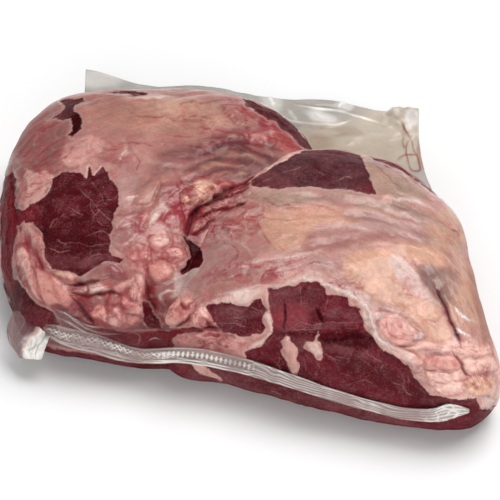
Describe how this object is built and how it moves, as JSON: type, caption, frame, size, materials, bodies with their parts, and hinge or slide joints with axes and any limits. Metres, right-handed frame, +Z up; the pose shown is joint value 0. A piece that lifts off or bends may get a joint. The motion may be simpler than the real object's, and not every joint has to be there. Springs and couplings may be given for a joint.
{
  "type": "sealed bag of raw beef cheeks",
  "caption": "Flat clear shrink bag holding raw beef cheeks side by side, with a crimped front seal, a folded front corner and an empty tail of film behind.",
  "frame": {"origin": "middle of the whole outline seen from above, on the table under the pack", "axes": "+X to the right along the front seal, +Y from the front seal to the tail, +Z up"},
  "size_m": [0.2489, 0.1997, 0.0581],
  "materials": {
    "beef": "moist pale pink fat and dark red lean under clinging clear film",
    "film": "clear thin shrink film, milky where two sheets lie together, white at the crimped seal"
  },
  "bodies": {
    "root": {"sealed_bag": "beef"}
  },
  "joints": []
}
